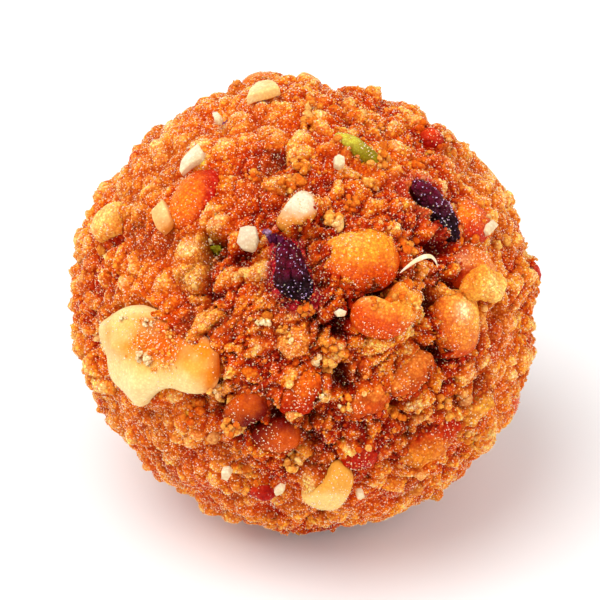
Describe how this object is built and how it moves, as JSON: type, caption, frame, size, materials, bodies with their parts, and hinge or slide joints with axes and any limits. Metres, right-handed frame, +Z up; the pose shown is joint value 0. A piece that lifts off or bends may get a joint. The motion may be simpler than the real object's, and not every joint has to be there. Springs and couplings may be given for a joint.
{
  "type": "nut and raisin ladoo",
  "caption": "Ball-shaped ladoo of sticky amber crumb with cashews, peanuts, raisins, red fruit and pistachio pressed into it, resting on a small flat spot.",
  "frame": {"origin": "middle of the flat spot that the ball rests on", "axes": "+Z up, out of the rest spot through the ball; the side with the large cashew, raisin and peanuts looks towards -Y and up; +X is to the right of someone who looks at that side"},
  "size_m": [0.0592, 0.0594, 0.0566],
  "materials": {
    "crumb": "sticky grainy crumb",
    "peanut": "syrup-glazed kernel",
    "cashew": "smooth kernel",
    "raisin": "wrinkled, moist",
    "cranberry": "wrinkled, moist",
    "pistachio": "satin sliver"
  },
  "bodies": {
    "root": {"crumb_ball": "crumb", "cashew_1": "cashew", "cashew_2": "cashew", "cashew_3": "cashew", "cashew_4": "cashew", "cashew_5": "cashew", "cranberry_1": "cranberry", "cranberry_2": "cranberry", "cranberry_3": "cranberry", "cranberry_4": "cranberry", "cranberry_5": "cranberry", "peanut_1": "peanut", "peanut_10": "peanut", "peanut_11": "peanut", "peanut_12": "peanut", "peanut_13": "peanut", "peanut_14": "peanut", "peanut_15": "peanut", "peanut_16": "peanut", "peanut_17": "peanut", "peanut_18": "peanut", "peanut_19": "peanut", "peanut_2": "peanut", "peanut_20": "peanut", "peanut_21": "peanut", "peanut_22": "peanut", "peanut_3": "peanut", "peanut_4": "peanut", "peanut_5": "peanut", "peanut_6": "peanut", "peanut_7": "peanut", "peanut_8": "peanut", "peanut_9": "peanut", "pistachio_1": "pistachio", "pistachio_2": "pistachio", "raisin_1": "raisin", "raisin_2": "raisin", "raisin_3": "raisin", "raisin_4": "raisin"}
  },
  "joints": []
}
